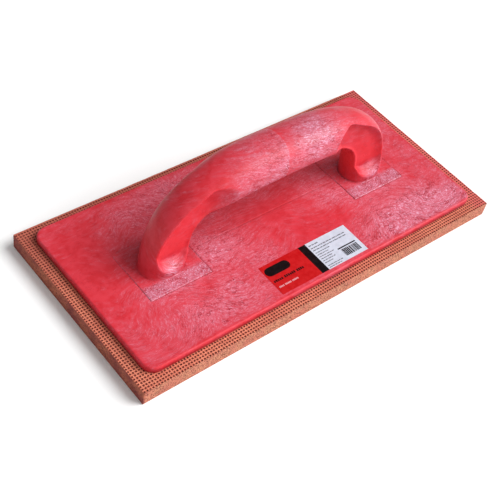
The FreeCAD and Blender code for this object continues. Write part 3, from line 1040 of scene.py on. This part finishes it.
LABEL_RED, LABEL_BLACK, LABEL_WHITE, INK_DARK, INK_LIGHT = range(5)
LABEL_FILMS = (           # name, sRGB colour, mottle
    ("label_red", (184, 18, 22), 6),
    ("label_black", (9, 6, 8), 4),
    ("label_white", (196, 202, 216), 6),
    ("ink_dark", (16, 8, 11), 4),
    ("ink_light", (208, 150, 158), 10),
)
INK_SEED = 5
INK_HEIGHT = 0.03
RED_END, BLACK_END = 31.6, 37.3   # from the left end of the label
BADGE_X, BADGE_DOWN = (0.9, 19.6), (9.2, 2.6)     # from the left end, and down from the top edge
BADGE_STEPS = 8
PRINT_INSET = 1.2         # small print, from the black field
PRINT_REACHES = (11.0, 9.5, 11.5, 8.5, 10.5, 7.5)
PRINT_DOWN, PRINT_PITCH = 9.2, 1.8
RULE = (17.2, 2.6, 9.2, 10.1)     # left and right from the right end, bottom and top
CODE_FROM, CODE_TO = 15.6, 3.4    # the bar pattern, from the right end
CODE_LOW, CODE_HIGH = 2.6, 8.4
BAR_WIDTHS, BAR_GAPS = (0.35, 0.35, 0.7, 0.95), (0.3, 0.3, 0.55)


def box_outline(x0, x1, y0, y1):
    return [(x0, y0), (x1, y0), (x1, y1), (x0, y1)]


class LabelMesh:
    """Closed boxes and bars, each with the number of its material."""

    def __init__(self):
        self.points, self.faces, self.kinds = [], [], []
        self.face = LABEL_HI[2] - INK_HEIGHT
        self.ink = random.Random(INK_SEED)

    def prism(self, kind, outline, low, high):
        """Stands a counter-clockwise outline up from low to high."""
        start, count = len(self.points), len(outline)
        for z in (low, high):
            self.points += [(x, y, z) for x, y in outline]
        self.faces.append([start + k for k in reversed(range(count))])
        self.faces.append([start + count + k for k in range(count)])
        for k in range(count):
            n = (k + 1) % count
            self.faces.append([start + k, start + n, start + count + n, start + count + k])
        self.kinds += [kind] * (count + 2)

    def field(self, kind, x0, x1):
        """A colour field over the label's whole width."""
        outline = box_outline(x0, x1, LABEL_LO[1], LABEL_HI[1])
        self.prism(kind, outline, LABEL_LO[2], self.face)

    def print_shape(self, kind, outline):
        self.prism(kind, outline, self.face - INK_HEIGHT, LABEL_HI[2])

    def mark(self, kind, *sides):
        self.print_shape(kind, box_outline(*sides))

    def words(self, kind, x, end, y, height, shortest, longest):
        """A row of short strokes in groups of random length."""
        while x < end - shortest:
            stop = min(x + self.ink.uniform(shortest, longest), end)
            while x < stop:
                tall = height * self.ink.choice((0.5, 0.5, 0.36))
                self.mark(kind, x, x + 0.52 * height, y - 0.36 * height, y + tall)
                x += 0.72 * height
            x += 0.5 * height

    def bars(self, x, end, y0, y1):
        """A made-up bar pattern."""
        while x < end:
            wide = self.ink.choice(BAR_WIDTHS)
            self.mark(INK_DARK, x, x + wide, y0, y1)
            x += wide + self.ink.choice(BAR_GAPS)


def pill_outline(x0, x1, y0, y1):
    """Counter-clockwise outline of a bar with round ends."""
    r = 0.5 * (y1 - y0)
    cy = 0.5 * (y0 + y1)
    ring = []
    for cx, start in ((x1 - r, -0.5 * math.pi), (x0 + r, 0.5 * math.pi)):
        for k in range(BADGE_STEPS + 1):
            a = start + math.pi * k / BADGE_STEPS
            ring.append((cx + r * math.cos(a), cy + r * math.sin(a)))
    return ring


def build_label():
    """Film in three colour fields, with blank shapes and word-like dashes printed on it."""
    x0, y0 = LABEL_LO[:2]
    x1, y1 = LABEL_HI[:2]
    label = LabelMesh()
    label.field(LABEL_RED, x0, x0 + RED_END)
    label.field(LABEL_BLACK, x0 + RED_END, x0 + BLACK_END)
    label.field(LABEL_WHITE, x0 + BLACK_END, x1)

    # a blank badge and two rows of strokes on the red field
    label.print_shape(LABEL_BLACK, pill_outline(x0 + BADGE_X[0], x0 + BADGE_X[1],
                                                y1 - BADGE_DOWN[0], y1 - BADGE_DOWN[1]))
    label.words(INK_DARK, x0 + 1.6, x0 + RED_END - 1.4, y1 - 13.4, 2.0, 4.0, 8.0)
    label.words(INK_LIGHT, x0 + 1.8, x0 + 17.6, y1 - 18.2, 1.35, 3.0, 6.0)

    # rows of finer strokes, a rule and a bar pattern on the white field
    left = x0 + BLACK_END + PRINT_INSET
    rows = [(left + 8.0, y1 - 2.7, 0.9, 1.2, 3.0),
            (x1 - 3.6, y1 - 5.0, 0.8, 1.0, 2.8),
            (x1 - 3.4, y1 - 7.0, 0.8, 1.0, 2.8)]
    rows += [(left + reach, y1 - PRINT_DOWN - PRINT_PITCH * k, 0.65, 0.8, 2.2)
             for k, reach in enumerate(PRINT_REACHES)]
    rows += [(left + 12.0, y0 + 2.6, 0.7, 0.9, 2.4), (left + 10.5, y0 + 1.1, 0.7, 0.9, 2.4)]
    for row in rows:
        label.words(INK_DARK, left, *row)
    label.mark(INK_DARK, x1 - RULE[0], x1 - RULE[1], y0 + RULE[2], y0 + RULE[3])
    label.bars(x1 - CODE_FROM, x1 - CODE_TO, y0 + CODE_LOW, y0 + CODE_HIGH)

    obj = new_object("printed_label", label.points, label.faces, smooth=False)
    obj.data.polygons.foreach_set("material_index", label.kinds)
    for name, colour, spread in LABEL_FILMS:
        obj.data.materials.append(film_material(name, colour, spread))
    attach(obj, "root")
    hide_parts("product_label")


def finish_node(name, material):
    """Gives its material to a CAD node that stays."""
    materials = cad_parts[name].data.materials
    materials.clear()
    materials.append(material)


# ---- studio

FLOOR_SIZE = 60.0         # metres, to reach the horizon in low views
FLOOR_DROP = 0.0002       # metres, below the slab's underside
WORLD_STRENGTH = 0.25
SUNS = (                  # name, direction of the source, strength, spread in degrees
    ("key", (0.58, -0.42, 0.70), 3.7, 46.0),
    ("front_fill", (-0.10, -0.88, 0.46), 1.30, 90.0),
)
CAMERA_PLACE = (-348.27, -301.87, 468.47)
CAMERA_TURN = (42.6309, -8.7535, -39.0475)    # degrees about X, then Y, then Z
CAMERA_LENS, CAMERA_SENSOR = 74.31, 36.0
CAMERA_RANGE = (0.01, 100.0)                  # metres


def build_studio(scene):
    scene.view_settings.view_transform = "Standard"
    scene.view_settings.look = "None"
    scene.view_settings.exposure = 0.0
    scene.view_settings.gamma = 1.0

    bpy.ops.mesh.primitive_plane_add(size=FLOOR_SIZE, location=(0, 0, -FLOOR_DROP))
    floor = bpy.context.object
    floor.name = "studio_floor"
    floor.data.materials.append(floor_material())

    scene.world = bpy.data.worlds.new("studio")
    scene.world.use_nodes = True
    sky = scene.world.node_tree.nodes["Background"]
    sky.inputs["Color"].default_value = (1.0, 1.0, 1.0, 1.0)
    sky.inputs["Strength"].default_value = WORLD_STRENGTH
    for name, source, strength, spread in SUNS:
        light = bpy.data.lights.new(name, "SUN")
        light.energy = strength
        light.angle = math.radians(spread)
        sun = bpy.data.objects.new(name, light)
        way = Vector(source).normalized()
        sun.location = way * 1.5
        sun.rotation_euler = way.to_track_quat("Z", "Y").to_euler()
        scene.collection.objects.link(sun)


def add_camera(scene):
    """Looks at the object from the photograph's angle, which the slab's corners gave."""
    data = bpy.data.cameras.new("photo_camera")
    data.sensor_width = CAMERA_SENSOR
    data.lens = CAMERA_LENS
    data.clip_start, data.clip_end = CAMERA_RANGE
    camera = bpy.data.objects.new("photo_camera", data)
    turn = Euler([math.radians(a) for a in CAMERA_TURN], "XYZ")
    camera.matrix_world = Matrix.Translation(Vector(CAMERA_PLACE) * MM) @ turn.to_matrix().to_4x4()
    scene.collection.objects.link(camera)
    scene.camera = camera


# ---- build

build_pad()
build_plate()
build_handle()
build_label()
finish_node("bond_film", glue_material())
steel = steel_material()
for node_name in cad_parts:
    if node_name.startswith("screw_"):
        finish_node(node_name, steel)
build_studio(bpy.context.scene)
add_camera(bpy.context.scene)
